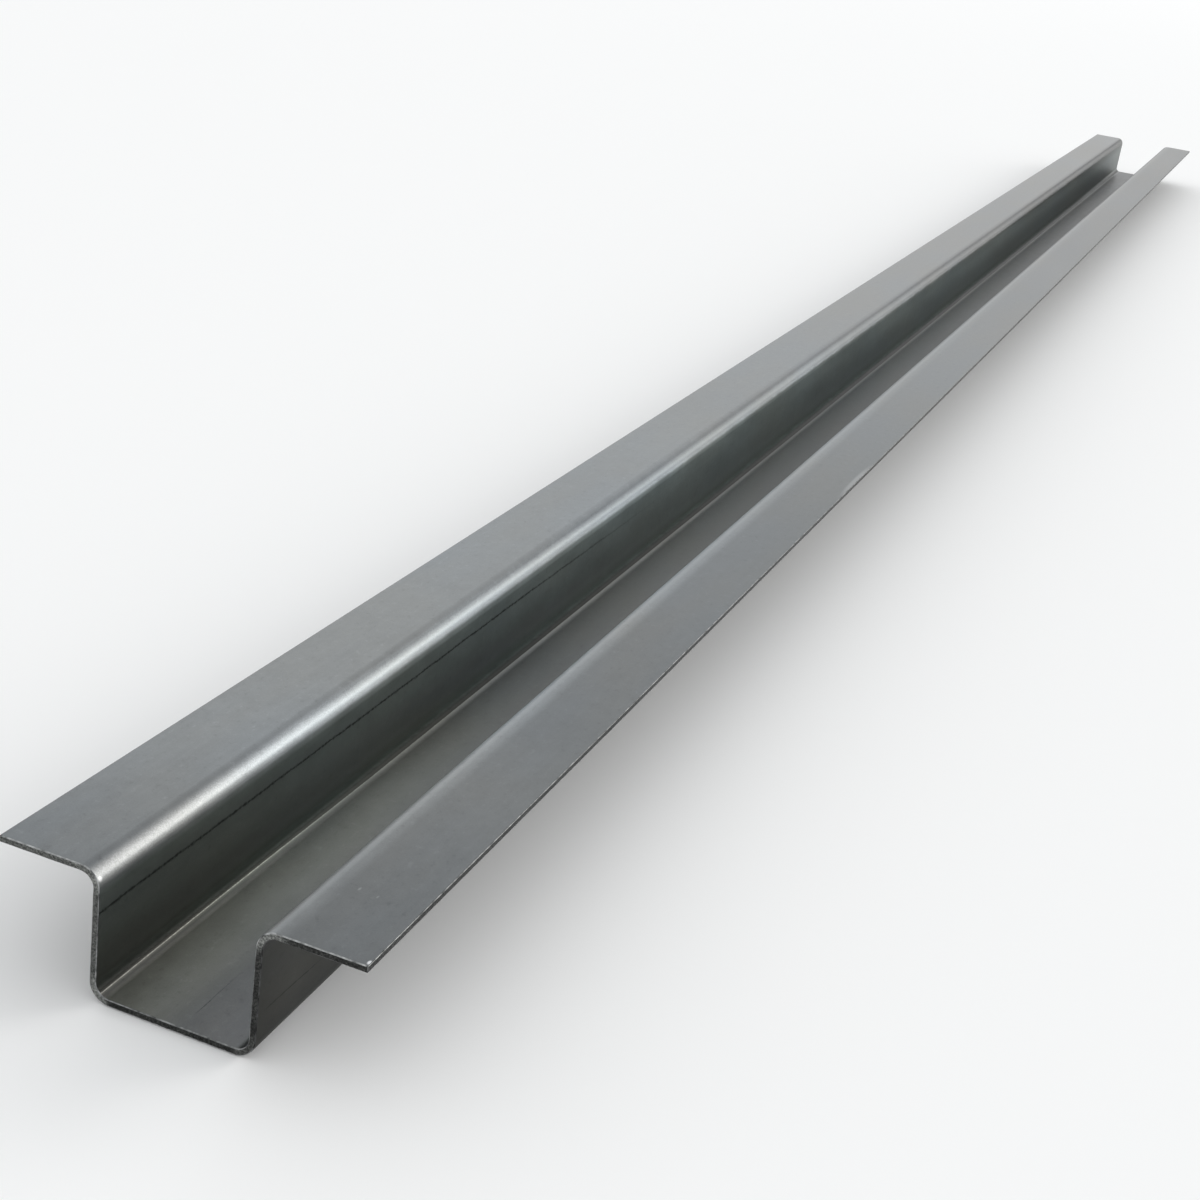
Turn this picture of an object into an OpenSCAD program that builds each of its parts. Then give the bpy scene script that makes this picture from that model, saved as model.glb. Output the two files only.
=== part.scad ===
// Hat channel: one bar of cold-formed steel strip, folded four times and cut square at both ends.
// It lies on its base with the open side up. X runs across, Y along the bar and Z up,
// and the origin is under the middle of the base.

/* [Section] */
// Outside width of the base, over both webs
base_w = 50; // [30:0.5:120]
// Outside height, from under the base to the top of the flanges
channel_h = 39.5; // [24:0.5:100]
// Flange leg, from the channel side of the web to the free edge
flange_w = 31; // [14:0.5:80]

/* [Strip] */
// Thickness of the steel strip
strip_t = 2; // [1:0.25:4]
// Inside radius of the four bends
bend_r = 4; // [1:0.25:8]

/* [Bar] */
// Length of the bar
bar_l = 2000; // [500:50:6000]

/* [Hidden] */
$fn = 96;

// Outer radius of a bend
bend_outer_r = bend_r + strip_t;

// Straight stretches left between the bends
base_flat = base_w - 2 * bend_outer_r;
web_flat = channel_h - 2 * bend_outer_r;
flange_flat = flange_w - bend_outer_r;

// The folded strip from the left free edge to the right one: its flats, and the way each bend turns,
// down into the left web, round into the base, up the right web and out into the right flange
DOWN = -1;
UP = 1;
flats = [flange_flat, web_flat, base_flat, web_flat, flange_flat];
turns = [DOWN, UP, UP, DOWN];

// Where the left free edge starts, measured from under the middle of the base
left_edge_x = -(flange_flat + bend_r + base_w / 2);
left_edge_z = channel_h - strip_t;

// Quarter ring about the bend's axis, taking a strip that runs along +x round towards the turn
module bend(turn) {
    intersection() {
        difference() {
            circle(r = bend_outer_r);
            circle(r = bend_r);
        }
        mirror([0, turn == UP ? 1 : 0]) square(bend_outer_r);
    }
}

// One flat of the strip with its lower face on the x axis, then its bend, then the rest of the strip
// carried on from the end of that bend
module folded_strip(i = 0) {
    square([flats[i], strip_t]);
    if (i < len(turns)) {
        // The bend's axis lies inside the fold, so the lower face is the outer one where the strip turns up
        axis_gap = turns[i] == UP ? bend_outer_r : bend_r;
        translate([flats[i], turns[i] * axis_gap]) bend(turns[i]);
        translate([flats[i] + axis_gap, turns[i] * axis_gap]) rotate(turns[i] * 90) folded_strip(i + 1);
    }
}

// The whole bar
module hat_channel() {
    color([0.5, 0.52, 0.53])
        rotate([90, 0, 0])
            linear_extrude(bar_l, center = true)
                translate([left_edge_x, left_edge_z]) folded_strip();
}

hat_channel();
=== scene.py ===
import math

import bmesh
import bpy
from mathutils import Matrix, Vector


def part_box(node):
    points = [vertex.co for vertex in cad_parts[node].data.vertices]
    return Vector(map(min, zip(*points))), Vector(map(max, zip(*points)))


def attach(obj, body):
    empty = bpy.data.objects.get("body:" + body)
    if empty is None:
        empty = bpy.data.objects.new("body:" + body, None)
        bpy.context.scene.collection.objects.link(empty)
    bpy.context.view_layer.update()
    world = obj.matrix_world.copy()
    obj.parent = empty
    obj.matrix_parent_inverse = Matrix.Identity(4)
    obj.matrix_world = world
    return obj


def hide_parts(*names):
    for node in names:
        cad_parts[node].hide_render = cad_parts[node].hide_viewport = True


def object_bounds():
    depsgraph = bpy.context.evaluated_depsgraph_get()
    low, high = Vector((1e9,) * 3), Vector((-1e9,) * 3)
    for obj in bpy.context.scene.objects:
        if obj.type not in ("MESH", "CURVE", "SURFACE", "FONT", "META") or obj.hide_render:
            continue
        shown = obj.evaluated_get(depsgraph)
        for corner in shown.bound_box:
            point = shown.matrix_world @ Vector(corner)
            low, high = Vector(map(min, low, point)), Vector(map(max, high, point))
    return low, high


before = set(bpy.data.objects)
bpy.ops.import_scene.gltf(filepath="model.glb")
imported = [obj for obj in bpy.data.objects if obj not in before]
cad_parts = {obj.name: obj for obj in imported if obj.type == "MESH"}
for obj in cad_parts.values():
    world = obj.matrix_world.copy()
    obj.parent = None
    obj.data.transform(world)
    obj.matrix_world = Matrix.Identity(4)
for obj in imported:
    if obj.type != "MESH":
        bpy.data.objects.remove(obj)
cadLow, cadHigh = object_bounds()
print("frame loaded, box", tuple(cadLow), tuple(cadHigh))

scene = bpy.context.scene
scene.view_settings.view_transform = "Standard"

# The section of the bar, the same sizes as its solid (metres)
section = {
    "baseWidth": 0.050,
    "stripThickness": 0.002,
    "bendInside": 0.004,
}

# How finely the bar is meshed, and how its cut edges are broken
bar = {
    "node": "hat_channel",
    "body": "root",
    "slot": "mill_steel",
    "bendSegments": 14,
    "lengthPieces": 40,
    "edgeRound": 0.00028,
    "edgeSegments": 3,
    "sharpEdge": math.radians(50),  # a cut edge, where a bend's facets turn far less
    "levelTurn": 0.01,  # a face that turns down or outwards by more than this is on the outer side
    "normalWeight": 100,
}


def inRadians(*angles):
    return [math.radians(angle) for angle in angles]


def newNode(tree, kind, values=None, **settings):
    node = tree.nodes.new(kind)
    for name, value in settings.items():
        setattr(node, name, value)
    for name, value in (values or {}).items():
        if isinstance(value, bpy.types.NodeSocket):
            tree.links.new(value, node.inputs[name])
        else:
            node.inputs[name].default_value = value
    return node


def maths(tree, operation, *values):
    return newNode(tree, "ShaderNodeMath", dict(enumerate(values)), operation=operation).outputs[0]


def product(tree, first, *others):
    for other in others:
        first = maths(tree, "MULTIPLY", first, other)
    return first


def blend(tree, amount, first, second):
    return maths(tree, "MULTIPLY_ADD", amount, maths(tree, "SUBTRACT", second, first), first)


def ramp(tree, value, fromLow, fromHigh, toLow, toHigh, smooth=False):
    kind = "SMOOTHSTEP" if smooth else "LINEAR"
    values = {"Value": value, "From Min": fromLow, "From Max": fromHigh, "To Min": toLow, "To Max": toHigh}
    return newNode(tree, "ShaderNodeMapRange", values, interpolation_type=kind).outputs[0]


def band(tree, value, start, full, leave, end):
    rise = ramp(tree, value, start, full, 0, 1, True)
    return product(tree, rise, ramp(tree, value, leave, end, 1, 0, True))


def noise(tree, position, scale, detail, rough):
    values = {"Vector": position, "Scale": scale, "Detail": detail, "Roughness": rough}
    return newNode(tree, "ShaderNodeTexNoise", values).outputs["Fac"]


def stretched(tree, position, scale):
    return newNode(tree, "ShaderNodeMapping", {"Vector": position, "Scale": scale}).outputs[0]


def mixColour(tree, amount, first, second):
    return newNode(tree, "ShaderNodeMix", {0: amount, 6: first, 7: second}, data_type="RGBA").outputs[2]


def scaleColour(tree, colour, amount):
    return newNode(tree, "ShaderNodeVectorMath", {0: colour, "Scale": amount}, operation="SCALE").outputs[0]


def tinted(tree, colour, tint):
    return newNode(tree, "ShaderNodeVectorMath", {0: colour, 1: tint}, operation="MULTIPLY").outputs[0]


def emptyMaterial(name):
    material = bpy.data.materials.new(name)
    material.use_nodes = True
    material.node_tree.nodes.clear()
    return material


def readPlace(tree):
    position = newNode(tree, "ShaderNodeTexCoord").outputs["Object"]
    parts = newNode(tree, "ShaderNodeSeparateXYZ", {"Vector": position}).outputs
    return {"all": position, "x": parts["X"], "y": parts["Y"], "z": parts["Z"]}


# Forming scratches, each along the bar on one flat face (metres)
channelScratches = [
    {"face": "x", "faceAt": -0.0230, "across": "z", "from": 0.0268, "to": 0.0252, "driftFrom": -0.76,
     "start": -1.002, "end": -0.58, "fadeIn": 0.001, "fadeOut": 0.16, "width": 0.00100, "depth": 0.95},
    {"face": "z", "faceAt": 0.0020, "across": "x", "from": 0.0029, "to": 0.0029, "driftFrom": -0.99,
     "start": -0.994, "end": -0.970, "fadeIn": 0.003, "fadeOut": 0.010, "width": 0.00032, "depth": 0.55},
]
outerScratches = [
    {"face": "x", "faceAt": 0.0250, "across": "z", "from": 0.0137, "to": 0.0131, "driftFrom": -0.996,
     "start": -0.997, "end": -0.965, "fadeIn": 0.002, "fadeOut": 0.012, "width": 0.00044, "depth": 0.80},
]
# How every scratch wanders, thins and breaks up (a noise has a scale, detail and roughness)
scratchWear = {
    "swayNoise": (60, 3, 0.65),
    "swaySpan": (0.3, 0.7),
    "sway": 0.00022,
    "widthNoise": (520, 3, 0.6),
    "widthSpan": (0.35, 0.65),
    "narrowest": 0.35,  # share of the full width
    "core": 0.1,
    "offFace": (0.0004, 0.0007),
    "breakNoise": (900, 2, 0.5),
    "breakSpan": (0.35, 0.55),
    "brokenDepth": 0.55,
}


def drawScratch(tree, place, mark, wear):
    drift = ramp(tree, place["y"], mark["driftFrom"], mark["end"], mark["from"], mark["to"], True)
    wander = noise(tree, place["all"], *wear["swayNoise"])
    sway = ramp(tree, wander, *wear["swaySpan"], -wear["sway"], wear["sway"])
    away = maths(tree, "SUBTRACT", place[mark["across"]], maths(tree, "ADD", drift, sway))
    uneven = noise(tree, place["all"], *wear["widthNoise"])
    reach = ramp(tree, uneven, *wear["widthSpan"], mark["width"] * wear["narrowest"], mark["width"])
    core = mark["width"] * wear["core"]
    thin = ramp(tree, maths(tree, "ABSOLUTE", away), core, reach, mark["depth"], 0)
    offFace = maths(tree, "ABSOLUTE", maths(tree, "SUBTRACT", place[mark["face"]], mark["faceAt"]))
    onFace = ramp(tree, offFace, *wear["offFace"], 1, 0)
    fadeIn = ramp(tree, place["y"], mark["start"], mark["start"] + mark["fadeIn"], 0, 1)
    fadeOut = ramp(tree, place["y"], mark["end"] - mark["fadeOut"], mark["end"], 1, 0)
    gaps = noise(tree, place["all"], *wear["breakNoise"])
    broken = ramp(tree, gaps, *wear["breakSpan"], wear["brokenDepth"], 1)
    return product(tree, thin, onFace, fadeIn, fadeOut, broken)


# Rubbed light spots on the right flange, and painted glints at its corner and at the end of the left bend,
# each with its place, squeeze along each axis, radius, strength and colour
rubbedGrey = (0.42, 0.43, 0.43, 1)
rubsAndGlints = [
    {"place": (0.0353, -0.9702, 0.0395), "squeeze": (1, 0.40, 1), "radius": 0.0005, "strength": 0.30,
     "colour": rubbedGrey},
    {"place": (0.0410, -0.9710, 0.0395), "squeeze": (1, 0.40, 1), "radius": 0.0004, "strength": 0.25,
     "colour": rubbedGrey},
    {"place": (0.0532, -0.5330, 0.0395), "squeeze": (1, 0.06, 1), "radius": 0.0020, "strength": 0.40,
     "colour": rubbedGrey},
    # a painted glint at the right flange's corner
    {"place": (0.0534, -0.9983, 0.0395), "squeeze": (1, 0.55, 1), "radius": 0.0007, "strength": 0.75,
     "colour": (0.88, 0.89, 0.90, 1)},
    # a painted glint at the end of the left bend
    {"place": (-0.0237, -0.9988, 0.0363), "squeeze": (1, 1, 1), "radius": 0.0010, "strength": 0.90,
     "colour": (0.60, 0.61, 0.61, 1)},
]
spotCore = 0.3  # share of a spot's radius that is at full strength


def drawSpot(tree, place, spot):
    squeeze = Vector(spot["squeeze"])
    squeezed = stretched(tree, place["all"], squeeze)
    middle = Vector(spot["place"]) * squeeze
    away = newNode(tree, "ShaderNodeVectorMath", {0: squeezed, 1: middle}, operation="DISTANCE")
    core = spot["radius"] * spotCore
    return ramp(tree, away.outputs["Value"], core, spot["radius"], spot["strength"], 0, True)


# Patterns that rolling leaves in the surface, each a noise drawn out along the bar
rollPatterns = {
    "streaks": {"stretch": (1, 0.012, 1), "noise": (700, 3, 0.5)},
    "clouds": {"stretch": (1, 0.35, 1), "noise": (22, 3, 0.5)},
    "mottle": {"stretch": (1, 0.6, 1), "noise": (150, 3, 0.6)},
    "patches": {"stretch": (1, 0.3, 1), "noise": (34, 2, 0.5)},
    "specks": {"stretch": (1, 0.7, 1), "noise": (430, 3, 0.7)},
    "grain": {"stretch": (1, 1, 1), "noise": (2600, 2, 0.5)},
}
# How the patterns add up to tone and relief, and the span of each that counts
rollMix = {
    "cloudShare": 0.45,
    "mottleShare": 0.40,
    "streakShare": 0.15,
    "toneSpan": (0.35, 0.65),
    "patchSpan": (0.35, 0.65),
    "lightSpecks": (0.58, 0.76),
    "darkSpecks": (0.42, 0.24),
    "grainSpan": (0.3, 0.7),
    "grainRelief": 0.6,
    "streakRelief": 0.5,
}
# Where the steel's tones change: up the section, across the base and along the bar (metres)
toneZones = {
    "flangeToWeb": (0.0355, 0.031),
    "webToBase": (0.0055, 0.003),
    "webTop": (0.024, 0.0345, 0.0345, 0.0375),
    "webMiddle": (0.006, 0.010, 0.025, 0.031),
    "baseAcross": (-0.016, 0.006),
    "baseAlong": (-0.98, -0.73),
    "baseEnd": (-0.65, -0.40),
    "webAlong": (-0.97, -0.70),
    "webEnd": (0, 0.95),
    "webTopAlong": (-0.65, 0.50),
    "webMiddleAlong": (-0.97, -0.86),
    "flangeAlong": (-0.60, 0.20),
    "flangeEnd": (-1.0, -0.90),
}
noTint = (1, 1, 1, 1)

# The rolled surface: satin grey steel, a shade cooler on the flanges, painted darker down in the channel as
# shade; its tones along the bar are partly painted reflection and shade
channelSteel = {
    "name": "channelSteel",
    "flange": (0.202, 0.212, 0.216, 1),
    "flangeFar": (0.204, 0.203, 0.200, 1),
    "flangeEndTone": 0.92,
    "flangeTone": 1.13,
    "web": (0.191, 0.212, 0.199, 1),
    "webFar": (0.309, 0.350, 0.345, 1),
    "base": (0.313, 0.311, 0.289, 1),
    "baseRight": (0.146, 0.150, 0.155, 1),
    "baseFar": (0.112, 0.110, 0.110, 1),
    "webTopTone": 1.58,
    "webTopFarTone": 1.0,
    "webEndTone": 0.45,
    "baseEndTone": 0.78,
    "webMiddleTone": 1.28,
    "warmPatch": (1.015, 1.0, 0.98, 1),
    "coolPatch": (0.985, 1.0, 1.02, 1),
    "toneLow": 0.88,
    "toneHigh": 1.12,
    "speckTone": 0.17,
    "grainTone": 0.05,
    "roughLow": 0.36,
    "roughHigh": 0.42,
    "scratch": (0.016, 0.017, 0.016, 1),
    "bumpHeight": 0.000022,
    "grazing": (0.8, 0.8, 0.8, 1),  # the surface film dulls it at a low angle
}
outerSteel = {
    "name": "outerSteel",
    "flange": (0.136, 0.141, 0.140, 1),
    "flangeFar": (0.136, 0.141, 0.140, 1),
    "flangeEndTone": 1,
    "flangeTone": 1,
    "web": (0.130, 0.133, 0.125, 1),
    "webFar": (0.130, 0.133, 0.125, 1),
    "base": (0.130, 0.134, 0.130, 1),
    "baseRight": (0.130, 0.134, 0.130, 1),
    "baseFar": (0.130, 0.134, 0.130, 1),
    "webTopTone": 1,
    "webTopFarTone": 1,
    "webEndTone": 1,
    "baseEndTone": 1,
    "webMiddleTone": 1,
    "warmPatch": (1.015, 1.0, 0.98, 1),
    "coolPatch": (0.985, 1.0, 1.02, 1),
    "toneLow": 0.90,
    "toneHigh": 1.10,
    "speckTone": 0.16,
    "grainTone": 0.06,
    "roughLow": 0.42,
    "roughHigh": 0.50,
    "scratch": (0.016, 0.017, 0.016, 1),
    "bumpHeight": 0.000022,
    "grazing": (0.8, 0.8, 0.8, 1),
}
# The strip's outside in the upper bends: stretched and rougher, with a painted highlight, by the angle from
# flange (0) to web (90)
upperBends = {
    "axisHeight": 0.0335,
    "axisFromMiddle": 0.029,
    "halfMiddle": 0.001,  # left gives way to right over this much each side of the middle
    "shineAngles": inRadians(17, 36, 92, 108),
    "roughAngles": inRadians(17, 36, 70, 90),
    "webAngles": inRadians(65, 81),
    "shineNear": -0.985,  # along the bar
    "webNear": -1.00,
    "webMiddle": -0.85,
    "middle": -0.65,
    "far": 0.50,
    "shineTone": 1.42,
    "shineMiddleTone": 0.775,
    "shineFarTone": 0.51,
    "webTone": 1.20,
    "webMiddleTone": 1.87,
    "webFarTone": 0.36,
    "dipAngles": inRadians(56, 66, 74, 82),  # a narrow painted dull band below the painted highlight at the near end
    "dipTone": 0.26,
    "dipFrom": -0.93,
    "dipTo": -0.87,
    "shoulderAngles": inRadians(25, 36, 44, 58),  # and one above it further along
    "shoulderTone": 0.24,
    "shoulderEnd": -0.35,
    # The painted highlight's colour: warm at the near end, cool further along
    "nearTint": (1.02, 0.99, 0.965, 1),
    "farTint": (0.97, 1.0, 1.02, 1),
    "tintTo": -0.86,
    "rightFarTone": 0.46,
    "rightFrom": -0.75,
    "rightTo": 0.45,
    "rough": 0.07,
    "grain": 0.12,
}
# Painted shade in the lower bends and low on the web, and a painted light line along the bend, by the angle
# round the bend from the web (0) to the base (90).
# Pairs of tones are at the near end and further along.
lowerBendShading = {
    "axisHeight": 0.006,
    "axisFromMiddle": 0.019,
    "halfMiddle": 0.002,
    "rightShare": 0.25,  # far less of it on the right
    "fadeAlong": (-0.94, -0.50),
    "webHeights": (0.010, 0.026),
    "webTones": (0.33, 0.76),
    "bendAngles": inRadians(-15, 8),
    "bendTones": (0.50, 0.72),
    "underAngles": inRadians(29, 40),
    "underTones": (0.10, 0.15),
    "lineNear": math.radians(51),
    "lineStep": math.radians(10),  # the line climbs towards the base, fast and then slowly
    "lineStepFrom": -0.95,
    "lineStepTo": -0.84,
    "lineDrift": math.radians(9),
    "lineDriftTo": -0.20,
    "lineCore": math.radians(1.0),
    "lineEdge": math.radians(2.8),
    "lineTones": (0.52, 0.50),
    "speckleNoise": (1300, 2, 0.5),
    "speckleSpan": (0.35, 0.62),
    "speckleLow": 0.35,
    "baseSideAngles": inRadians(12, 38),  # past the line
    "baseSideAlong": (-0.95, -0.70),
    "baseSideTones": (0.29, 1.60),
    "tint": (0.955, 1.0, 0.95, 1),
    "tintTop": (0.010, 0.006),
    "tintLow": (0.0020, 0.0024),
    "tintAlong": (-0.98, -0.93),
}
# The right side is darker towards the near end: on top of its flange, and outside its web, where it is
# painted shade under the flange
flangeShade = {
    "across": (0.0285, 0.033),
    "near": (-0.95, -0.85),
    "leave": (-0.80, -0.15),
    "nearTone": 0.76,
    "tone": 0.67,
    "endTone": 0.87,
}
outerShade = {
    "across": (0, 0.010),
    "near": (-1.0, -0.982),
    "leave": (-0.80, -0.35),
    "nearTone": 0.40,
    "tone": 0.62,
    "endTone": 1,
}


def shadeLowerBends(tree, place, bendShading):
    below = maths(tree, "SUBTRACT", bendShading["axisHeight"], place["z"])
    outward = maths(tree, "SUBTRACT", maths(tree, "ABSOLUTE", place["x"]), bendShading["axisFromMiddle"])
    angle = maths(tree, "ARCTAN2", below, outward)
    lineStep = ramp(tree, place["y"], bendShading["lineStepFrom"], bendShading["lineStepTo"], 0, 1, True)
    lineAt = maths(tree, "MULTIPLY_ADD", lineStep, bendShading["lineStep"], bendShading["lineNear"])
    lineDrift = ramp(tree, place["y"], bendShading["lineStepTo"], bendShading["lineDriftTo"], 0, bendShading["lineDrift"])
    pastLine = maths(tree, "SUBTRACT", angle, maths(tree, "ADD", lineAt, lineDrift))

    def fade(tones):
        return ramp(tree, place["y"], *bendShading["fadeAlong"], *tones)

    # Painted shade down the web and round to the line, dullest at the near end
    upWeb = ramp(tree, place["z"], *bendShading["webHeights"], 0, 1, True)
    webSide = blend(tree, upWeb, fade(bendShading["webTones"]), 1)
    inBend = ramp(tree, angle, *bendShading["bendAngles"], 0, 1, True)
    webSide = blend(tree, inBend, webSide, fade(bendShading["bendTones"]))
    underLine = ramp(tree, angle, *bendShading["underAngles"], 0, 1)
    webSide = blend(tree, underLine, webSide, fade(bendShading["underTones"]))
    toBase = ramp(tree, pastLine, *bendShading["baseSideAngles"], 0, 1, True)
    baseTone = ramp(tree, place["y"], *bendShading["baseSideAlong"], *bendShading["baseSideTones"])
    baseSide = blend(tree, toBase, baseTone, 1)
    overLine = ramp(tree, pastLine, -bendShading["lineEdge"] / 2, bendShading["lineEdge"] / 2, 0, 1)
    dullness = blend(tree, overLine, webSide, baseSide)

    # A painted highlight: a thin light line along the bend, broken into speckles
    flecks = noise(tree, place["all"], *bendShading["speckleNoise"])
    speckle = ramp(tree, flecks, *bendShading["speckleSpan"], bendShading["speckleLow"], 1)
    onLine = ramp(tree, maths(tree, "ABSOLUTE", pastLine), bendShading["lineCore"], bendShading["lineEdge"], 1, 0, True)
    paintedLine = product(tree, speckle, onLine, ramp(tree, lineStep, 0, 1, *bendShading["lineTones"]))

    # Its share on each side, and where its tint shows
    share = ramp(tree, place["x"], -bendShading["halfMiddle"], bendShading["halfMiddle"], 1, bendShading["rightShare"])
    lowTint = product(tree, share, ramp(tree, place["y"], *bendShading["tintAlong"], 0, 1),
                   ramp(tree, place["z"], *bendShading["tintTop"], 0, 1),
                   ramp(tree, place["z"], *bendShading["tintLow"], 0, 1))
    return blend(tree, share, 1, maths(tree, "ADD", paintedLine, dullness)), lowTint


def paintedShineOnBends(tree, place, bend):
    inward = maths(tree, "SUBTRACT", bend["axisFromMiddle"], maths(tree, "ABSOLUTE", place["x"]))
    angle = maths(tree, "ARCTAN2", inward, maths(tree, "SUBTRACT", place["z"], bend["axisHeight"]))

    def along(start, end, first, last):
        return ramp(tree, place["y"], bend[start], bend[end], first, last)

    # Left bend, a painted highlight: bright at the near end, where the shine is narrow, then duller and
    # spread down to the web, with painted dull bands beside it
    shine = product(tree, along("shineNear", "middle", bend["shineTone"], bend["shineMiddleTone"]),
                    along("middle", "far", 1, bend["shineFarTone"]))
    web = product(tree, along("webNear", "webMiddle", bend["webTone"], bend["webMiddleTone"]),
                  along("middle", "far", 1, bend["webFarTone"]))
    left = blend(tree, ramp(tree, angle, *bend["webAngles"], 0, 1, True), shine, web)
    dip = product(tree, band(tree, angle, *bend["dipAngles"]),
                  along("dipFrom", "dipTo", bend["dipTone"], 0))
    shoulder = product(tree, band(tree, angle, *bend["shoulderAngles"]),
                       along("dipFrom", "dipTo", 0, bend["shoulderTone"]),
                       along("middle", "shoulderEnd", 1, 0))
    left = product(tree, left, maths(tree, "SUBTRACT", 1, dip), maths(tree, "SUBTRACT", 1, shoulder))

    # Right bend: the painted reflection is only duller towards the far end
    right = along("rightFrom", "rightTo", 1, bend["rightFarTone"])
    tone = blend(tree, ramp(tree, place["x"], -bend["halfMiddle"], bend["halfMiddle"], 0, 1), left, right)
    onBend = band(tree, angle, *bend["shineAngles"])
    return blend(tree, onBend, 1, tone), band(tree, angle, *bend["roughAngles"])


def makeRolledSteel(look, scratches, spots, bendShading=None, shade=None, bend=None):
    material = emptyMaterial(look["name"])
    tree = material.node_tree
    place = readPlace(tree)
    marks = {}
    for name, pattern in rollPatterns.items():
        marks[name] = noise(tree, stretched(tree, place["all"], pattern["stretch"]), *pattern["noise"])

    def zone(axis, name):
        return ramp(tree, place[axis], *toneZones[name], 0, 1, True)

    def along(name, first, last):
        return ramp(tree, place["y"], *toneZones[name], first, last)

    # Flange, web and base colours, each changing along the bar, partly as painted reflection and shade
    flange = mixColour(tree, along("flangeAlong", 0, 1), look["flange"], look["flangeFar"])
    flange = scaleColour(tree, flange, along("flangeEnd", look["flangeEndTone"], look["flangeTone"]))
    web = mixColour(tree, zone("y", "webAlong"), look["web"], look["webFar"])
    web = scaleColour(tree, web, along("webEnd", 1, look["webEndTone"]))
    base = mixColour(tree, zone("x", "baseAcross"), look["base"], look["baseRight"])
    base = mixColour(tree, zone("y", "baseAlong"), base, look["baseFar"])
    base = scaleColour(tree, base, along("baseEnd", 1, look["baseEndTone"]))
    colour = mixColour(tree, zone("z", "flangeToWeb"), flange, web)
    colour = mixColour(tree, zone("z", "webToBase"), colour, base)
    warmth = ramp(tree, marks["patches"], *rollMix["patchSpan"], 0, 1)
    colour = tinted(tree, colour, mixColour(tree, warmth, look["coolPatch"], look["warmPatch"]))

    # Clouds, mottling, a few faint streaks, specks and grain
    tone = maths(tree, "MULTIPLY", marks["clouds"], rollMix["cloudShare"])
    tone = maths(tree, "MULTIPLY_ADD", marks["mottle"], rollMix["mottleShare"], tone)
    tone = maths(tree, "MULTIPLY_ADD", marks["streaks"], rollMix["streakShare"], tone)
    level = ramp(tree, tone, *rollMix["toneSpan"], look["toneLow"], look["toneHigh"])
    lightSpecks = ramp(tree, marks["specks"], *rollMix["lightSpecks"], 0, look["speckTone"])
    darkSpecks = ramp(tree, marks["specks"], *rollMix["darkSpecks"], 0, look["speckTone"])
    level = maths(tree, "SUBTRACT", maths(tree, "ADD", level, lightSpecks), darkSpecks)
    grain = ramp(tree, marks["grain"], *rollMix["grainSpan"], -look["grainTone"], look["grainTone"])
    level = maths(tree, "ADD", level, grain)

    # Painted light: the web is lighter below its upper bend, and half way down past the near end
    webTop = band(tree, place["z"], *toneZones["webTop"])
    topTone = along("webTopAlong", look["webTopTone"], look["webTopFarTone"])
    webMiddle = band(tree, place["z"], *toneZones["webMiddle"])
    middleTone = along("webMiddleAlong", 1, look["webMiddleTone"])
    level = product(tree, level, blend(tree, webTop, 1, topTone), blend(tree, webMiddle, 1, middleTone))

    # Painted shade and a painted light line in the lower bends, and a tint low in the channel
    if bendShading:
        bendShadingTone, lowTint = shadeLowerBends(tree, place, bendShading)
        level = product(tree, level, bendShadingTone)
        colour = tinted(tree, colour, mixColour(tree, lowTint, noTint, bendShading["tint"]))
    # A darker side; on the outer steel this is painted shade under the right flange
    if shade:
        across = ramp(tree, place["x"], *shade["across"], 0, 1, True)
        nearTone = ramp(tree, place["y"], *shade["near"], shade["nearTone"], shade["tone"])
        toEnd = ramp(tree, place["y"], *shade["leave"], 0, 1, True)
        sideTone = blend(tree, toEnd, nearTone, shade["endTone"])
        level = product(tree, level, blend(tree, across, 1, sideTone))

    roughness = ramp(tree, tone, *rollMix["toneSpan"], look["roughLow"], look["roughHigh"])
    # The painted highlight on the upper bends, and their rougher, grainier steel
    if bend:
        bendTone, roughened = paintedShineOnBends(tree, place, bend)
        sparkle = ramp(tree, marks["grain"], *rollMix["grainSpan"], -bend["grain"], bend["grain"])
        level = maths(tree, "MULTIPLY_ADD", roughened, sparkle, level)
        level = product(tree, level, bendTone)
        roughness = maths(tree, "MULTIPLY_ADD", roughened, bend["rough"], roughness)
        # The painted highlight's tint along the bar
        tintAlong = ramp(tree, place["y"], bend["webNear"], bend["tintTo"], 0, 1)
        tint = mixColour(tree, tintAlong, bend["nearTint"], bend["farTint"])
        colour = tinted(tree, colour, mixColour(tree, roughened, noTint, tint))
    colour = scaleColour(tree, colour, level)
    # Rubbed spots and painted glints
    for spot in spots:
        colour = mixColour(tree, drawSpot(tree, place, spot), colour, spot["colour"])
    for mark in scratches:
        colour = mixColour(tree, drawScratch(tree, place, mark, scratchWear), colour, look["scratch"])

    relief = maths(tree, "MULTIPLY", marks["streaks"], rollMix["streakRelief"])
    relief = maths(tree, "MULTIPLY_ADD", marks["grain"], rollMix["grainRelief"], relief)
    bump = newNode(tree, "ShaderNodeBump", {
        "Height": relief, "Strength": 1, "Distance": look["bumpHeight"]})
    shader = newNode(tree, "ShaderNodeBsdfPrincipled", {
        "Base Color": colour, "Metallic": 1, "Roughness": roughness, "Normal": bump.outputs[0],
        "Specular Tint": look["grazing"]})
    newNode(tree, "ShaderNodeOutputMaterial", {"Surface": shader.outputs[0]})
    return material


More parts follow.
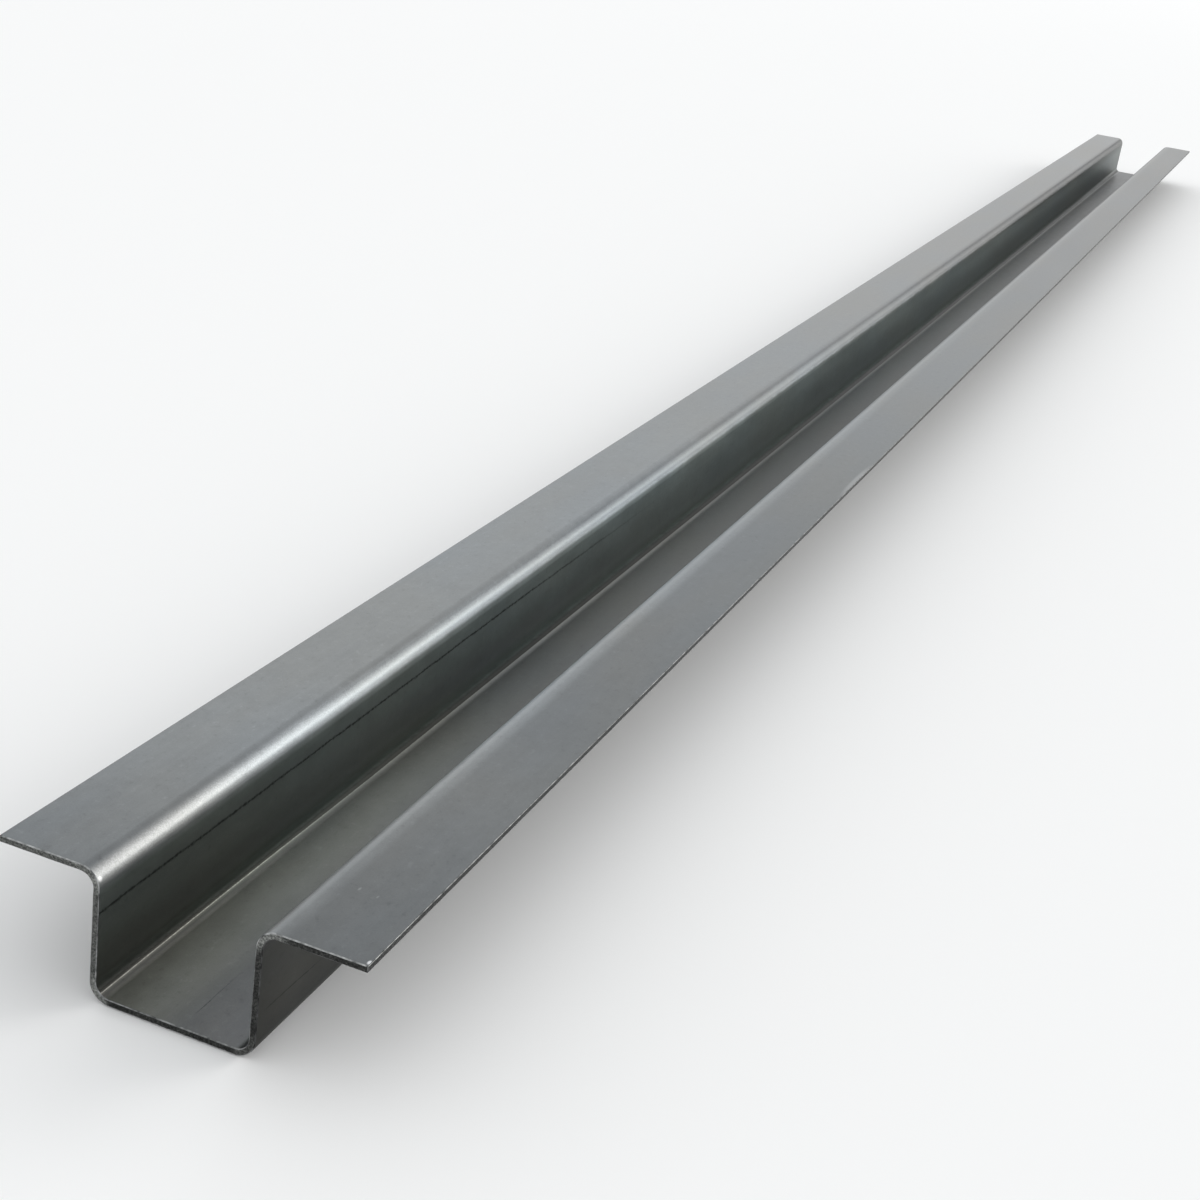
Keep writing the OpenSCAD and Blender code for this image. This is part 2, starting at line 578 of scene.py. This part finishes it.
# The sawn ends and slit edges: dark, rough and speckled, darkest across the base and lighter at the bends.
# An edge is a distance across from the middle, and heights are up the section (metres).
cutSteel = {
    "dark": (0.055, 0.057, 0.055, 1),
    "light": (0.21, 0.215, 0.205, 1),
    "roughLow": 0.38,
    "roughHigh": 0.60,
    "roughSpan": (0.35, 0.70),
    "speckleNoise": (1500, 3, 0.6),
    "speckleSpan": (0.40, 0.72),
    "patchNoise": (160, 2, 0.5),
    "patchSpan": (0.3, 0.7),
    "patchTones": (0.75, 1.3),
    "bumpHeight": 0.00003,
    "baseEdge": (0.0185, 0.0205),
    "baseTone": 0.42,
    "rightEdge": (0.016, 0.022),
    "rightTone": 0.36,
    "bendHeights": (0.0055, 0.009),
    "bendTone": 1.8,
    "upperBendHeights": (0.031, 0.0355),
    "upperBendEdge": (0.029, 0.033),
    "upperBendTone": 1.6,
}


def makeCutSteel(look):
    material = emptyMaterial("cutSteel")
    tree = material.node_tree
    place = readPlace(tree)
    speckle = noise(tree, place["all"], *look["speckleNoise"])
    colour = mixColour(tree, ramp(tree, speckle, *look["speckleSpan"], 0, 1), look["dark"], look["light"])

    # Darker base and right side, lighter where the strip is bent
    sideways = maths(tree, "ABSOLUTE", place["x"])
    offBase = ramp(tree, sideways, *look["baseEdge"], 0, 1, True)
    baseLevel = blend(tree, offBase, look["baseTone"], 1)
    rightLevel = ramp(tree, place["x"], *look["rightEdge"], 1, look["rightTone"], True)
    lowerBend = product(tree, ramp(tree, place["z"], *look["bendHeights"], 1, 0, True), offBase)
    upperBend = product(tree, ramp(tree, place["z"], *look["upperBendHeights"], 0, 1, True),
                        ramp(tree, sideways, *look["upperBendEdge"], 1, 0, True))
    level = maths(tree, "MINIMUM", baseLevel, rightLevel)
    level = product(tree, level, blend(tree, lowerBend, 1, look["bendTone"]))
    level = blend(tree, upperBend, level, look["upperBendTone"])
    patches = noise(tree, place["all"], *look["patchNoise"])
    patchTone = ramp(tree, patches, *look["patchSpan"], *look["patchTones"])
    colour = scaleColour(tree, colour, product(tree, level, patchTone))

    roughness = ramp(tree, speckle, *look["roughSpan"], look["roughHigh"], look["roughLow"])
    bump = newNode(tree, "ShaderNodeBump", {
        "Height": speckle, "Strength": 1, "Distance": look["bumpHeight"]})
    shader = newNode(tree, "ShaderNodeBsdfPrincipled", {
        "Base Color": colour, "Metallic": 1, "Roughness": roughness, "Normal": bump.outputs[0]})
    newNode(tree, "ShaderNodeOutputMaterial", {"Surface": shader.outputs[0]})
    return material


# The broken edges, rubbed bright in places, with painted shade lower down and under the right flange
rubbedAndShadedEdge = {
    "dark": (0.13, 0.135, 0.135, 1),
    "light": (0.50, 0.51, 0.51, 1),
    "roughness": 0.34,
    "patchNoise": (330, 3, 0.6),
    "patchSpan": (0.36, 0.62),
    "lowHeights": (0.030, 0.037),
    "lowTone": 0.68,  # painted shade: the edges of the webs and base are darker than the flanges' ends
    "slitEdge": (0.0530, 0.0536),
    "slitTone": 0.33,
    "rightEdge": (0.0240, 0.0246),
    "rightUnderHeights": (0.0377, 0.0384),
    "rightUnderTone": 0.25,
}


def makeRubbedAndShadedEdge(look):
    material = emptyMaterial("rubbedAndShadedEdge")
    tree = material.node_tree
    place = readPlace(tree)
    patches = noise(tree, place["all"], *look["patchNoise"])
    colour = mixColour(tree, ramp(tree, patches, *look["patchSpan"], 0, 1), look["dark"], look["light"])
    sideways = maths(tree, "ABSOLUTE", place["x"])
    # Painted shade on the lower edges and under the right flange; the slit edges darker
    underRight = product(tree, ramp(tree, place["x"], *look["rightEdge"], 0, 1),
                         ramp(tree, place["z"], *look["rightUnderHeights"], 1, 0))
    level = product(tree, ramp(tree, place["z"], *look["lowHeights"], look["lowTone"], 1, True),
                    ramp(tree, sideways, *look["slitEdge"], 1, look["slitTone"]),
                    blend(tree, underRight, 1, look["rightUnderTone"]))
    colour = scaleColour(tree, colour, level)
    shader = newNode(tree, "ShaderNodeBsdfPrincipled", {
        "Base Color": colour, "Metallic": 1, "Roughness": look["roughness"]})
    newNode(tree, "ShaderNodeOutputMaterial", {"Surface": shader.outputs[0]})
    return material


finishes = {"channel": 0, "outer": 1, "cut": 2, "brokenEdge": 3}  # the bar's material slots


def buildBar(sizes, strip):
    low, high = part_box(sizes["node"])
    thickness = strip["stripThickness"]
    webFace = strip["baseWidth"] / 2 - thickness  # channel side of a web, from the middle
    barLength = high.y - low.y

    # The channel side of the strip as six corners, swept along the bar
    mesh = bmesh.new()
    corners = [(low.x, high.z), (-webFace, high.z), (-webFace, low.z + thickness),
               (webFace, low.z + thickness), (webFace, high.z), (high.x, high.z)]
    points = [mesh.verts.new((x, low.y, z)) for x, z in corners]
    lines = [mesh.edges.new(pair) for pair in zip(points, points[1:])]
    swept = bmesh.ops.extrude_edge_only(mesh, edges=lines)["geom"]
    sweptPoints = [item for item in swept if isinstance(item, bmesh.types.BMVert)]
    bmesh.ops.translate(mesh, verts=sweptPoints, vec=(0, barLength, 0))

    # The four bends: the upper two are seen from their outside, the lower two from their inside
    bends = {high.z: strip["bendInside"] + thickness, low.z + thickness: strip["bendInside"]}
    for height, radius in bends.items():
        folds = [edge for edge in mesh.edges if len(edge.link_faces) == 2
                 and all(abs(vert.co.z - height) < thickness / 2 for vert in edge.verts)]
        bmesh.ops.bevel(mesh, geom=folds, offset=radius, offset_type="OFFSET", affect="EDGES",
                        segments=sizes["bendSegments"], profile=0.5, material=-1, clamp_overlap=False)

    # Cuts across the bar keep its faces short
    for count in range(1, sizes["lengthPieces"]):
        cut = low.y + barLength * count / sizes["lengthPieces"]
        everything = mesh.verts[:] + mesh.edges[:] + mesh.faces[:]
        bmesh.ops.bisect_plane(mesh, geom=everything, plane_co=(0, cut, 0), plane_no=(0, 1, 0))

    # The channel side faces up, and the strip gets its thickness below it
    bmesh.ops.recalc_face_normals(mesh, faces=mesh.faces[:])
    topFace = max(mesh.faces, key=lambda face: face.calc_center_median().z)
    if topFace.normal.z < 0:
        bmesh.ops.reverse_faces(mesh, faces=mesh.faces[:])
    bmesh.ops.solidify(mesh, geom=mesh.faces[:], thickness=thickness)
    mesh.normal_update()
    print("strip volume", round(mesh.calc_volume(signed=True) * 1e9), "cubic mm")

    # Broken edges round the sawn ends and along the slit sides
    cutEdges = [edge for edge in mesh.edges if len(edge.link_faces) == 2
                and edge.calc_face_angle() > sizes["sharpEdge"]]
    broken = bmesh.ops.bevel(mesh, geom=cutEdges, offset=sizes["edgeRound"], offset_type="OFFSET",
                             affect="EDGES", segments=sizes["edgeSegments"], profile=0.5, material=-1)

    # Which finish each face takes: channel side, outer side, cut face or broken edge
    mesh.normal_update()
    brokenFaces = set(broken["faces"])
    for face in mesh.faces:
        middle = face.calc_center_median()
        atEnd = min(middle.y - low.y, high.y - middle.y) < sizes["edgeRound"] / 2
        atSide = min(middle.x - low.x, high.x - middle.x) < sizes["edgeRound"] / 2
        outward = face.normal.x if middle.x > 0 else -face.normal.x
        facesOut = face.normal.z < -sizes["levelTurn"] or outward > sizes["levelTurn"]
        if face in brokenFaces:
            face.material_index = finishes["brokenEdge"]
        elif atEnd or atSide:
            face.material_index = finishes["cut"]
        else:
            face.material_index = finishes["outer" if facesOut else "channel"]
        face.smooth = True
    data = bpy.data.meshes.new("hatChannel")
    mesh.to_mesh(data)
    mesh.free()
    piece = bpy.data.objects.new("hatChannel", data)
    scene.collection.objects.link(piece)
    evenNormals = piece.modifiers.new("evenNormals", "WEIGHTED_NORMAL")
    evenNormals.weight = sizes["normalWeight"]
    evenNormals.keep_sharp = True
    return piece


hatChannel = buildBar(bar, section)
hatChannel.data.materials.append(
    makeRolledSteel(channelSteel, channelScratches, rubsAndGlints, lowerBendShading, flangeShade, upperBends))
hatChannel.data.materials.append(makeRolledSteel(outerSteel, outerScratches, [], shade=outerShade))
hatChannel.data.materials.append(makeCutSteel(cutSteel))
hatChannel.data.materials.append(makeRubbedAndShadedEdge(rubbedAndShadedEdge))
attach(hatChannel, bar["body"])
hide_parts(bar["node"])
print("bar built,", len(hatChannel.data.polygons), "faces")

# A plain pale floor under the bar
floor = {
    "halfSize": 40,
    "drop": 0.0003,
    "colour": (0.95, 0.95, 0.95, 1),
}


def buildFloor(sizes):
    mesh = bmesh.new()
    under = Matrix.Translation((0, 0, cadLow.z - sizes["drop"]))
    bmesh.ops.create_grid(mesh, x_segments=1, y_segments=1, size=sizes["halfSize"], matrix=under)
    data = bpy.data.meshes.new("floor")
    mesh.to_mesh(data)
    mesh.free()
    piece = bpy.data.objects.new("floor", data)
    scene.collection.objects.link(piece)
    material = emptyMaterial("paleFloor")
    tree = material.node_tree
    shader = newNode(tree, "ShaderNodeBsdfDiffuse", {"Color": sizes["colour"]})
    newNode(tree, "ShaderNodeOutputMaterial", {"Surface": shader.outputs[0]})
    data.materials.append(material)
    return piece


buildFloor(floor)
print("floor laid")

# Soft studio light: a white room, a little dimmer overhead, a round soft window behind on the right
# and a broad faint one low behind on the left
room = {
    "horizon": (0.965, 0.98, 0.99, 1),
    "middle": (0.925, 0.94, 0.95, 1),
    "overhead": (0.78, 0.79, 0.795, 1),
    "horizonAt": 0.05,  # rise of the ray up to which the horizon's tone holds
    "middleAt": 0.38,
    "overheadAt": 0.72,
}
rightWindow = {
    "turn": math.radians(37),  # from the bar's far direction towards its right side
    "rise": math.radians(19),
    "distance": 40,
    "shape": "ELLIPSE",
    "layers": [  # width, height and glow, soft at its rim
        (12.0, 14.0, 2.05),
        (21.2, 23.2, 2.05),
        (30.8, 27.2, 1.75),
    ],
    "colour": (1.0, 0.98, 0.95),
}
leftWindow = {
    "turn": math.radians(-30),
    "rise": math.radians(15),
    "distance": 40,
    "shape": "RECTANGLE",
    "layers": [(46, 20.8, 0.64)],
    "colour": (0.97, 0.99, 1.0),
}
layerGap = 0.02  # between a window's layers


def lightRoom(look):
    world = bpy.data.worlds.new("room")
    world.use_nodes = True
    tree = world.node_tree
    tree.nodes.clear()
    ray = newNode(tree, "ShaderNodeTexCoord").outputs["Generated"]
    rise = newNode(tree, "ShaderNodeSeparateXYZ", {"Vector": ray}).outputs["Z"]
    toMiddle = ramp(tree, rise, look["horizonAt"], look["middleAt"], 0, 1)
    toOverhead = ramp(tree, rise, look["middleAt"], look["overheadAt"], 0, 1)
    lower = mixColour(tree, toMiddle, look["horizon"], look["middle"])
    colour = mixColour(tree, toOverhead, lower, look["overhead"])
    glow = newNode(tree, "ShaderNodeBackground", {"Color": colour, "Strength": 1})
    newNode(tree, "ShaderNodeOutputWorld", {"Surface": glow.outputs[0]})
    scene.world = world


def hangWindow(name, look, target):
    level = math.cos(look["rise"])
    outward = Vector((math.sin(look["turn"]) * level, math.cos(look["turn"]) * level,
                      math.sin(look["rise"])))
    facing = outward.to_track_quat("Z", "Y").to_matrix().to_4x4()
    for count, (width, height, glow) in enumerate(look["layers"]):
        lamp = bpy.data.lights.new(name, "AREA")
        lamp.shape = look["shape"]
        lamp.size = width
        lamp.size_y = height
        area = width * height * (math.pi / 4 if look["shape"] == "ELLIPSE" else 1)
        lamp.energy = glow * math.pi * area
        lamp.color = look["colour"]
        piece = bpy.data.objects.new(name, lamp)
        away = outward * (look["distance"] + count * layerGap)
        piece.matrix_world = Matrix.Translation(target + away) @ facing
        piece.visible_camera = False
        scene.collection.objects.link(piece)


nearEnd = Vector((0, cadLow.y, cadHigh.z))
lightRoom(room)
hangWindow("rightWindow", rightWindow, nearEnd)
hangWindow("leftWindow", leftWindow, nearEnd)
print("light set")

# The camera stands above the near end, turned a little on its own axis
view = {
    "place": Vector((0.21970, -1.35302, 0.30003)),
    "looks": Vector((-0.29987, 0.87662, -0.37632)),
    "up": Vector((-0.25683, 0.30573, 0.91683)),
    "lens": 56.90,
    "sensor": 36,
    "clipStart": 0.01,
    "clipEnd": 200,
}


def placeCamera(look):
    ahead = look["looks"].normalized()
    right = ahead.cross(look["up"]).normalized()
    up = right.cross(ahead)
    lens = bpy.data.cameras.new("camera")
    lens.lens = look["lens"]
    lens.sensor_width = look["sensor"]
    lens.clip_start = look["clipStart"]
    lens.clip_end = look["clipEnd"]
    piece = bpy.data.objects.new("camera", lens)
    turned = Matrix((right, up, -ahead)).transposed().to_4x4()
    piece.matrix_world = Matrix.Translation(look["place"]) @ turned
    scene.collection.objects.link(piece)
    scene.camera = piece


placeCamera(view)
print("camera placed")
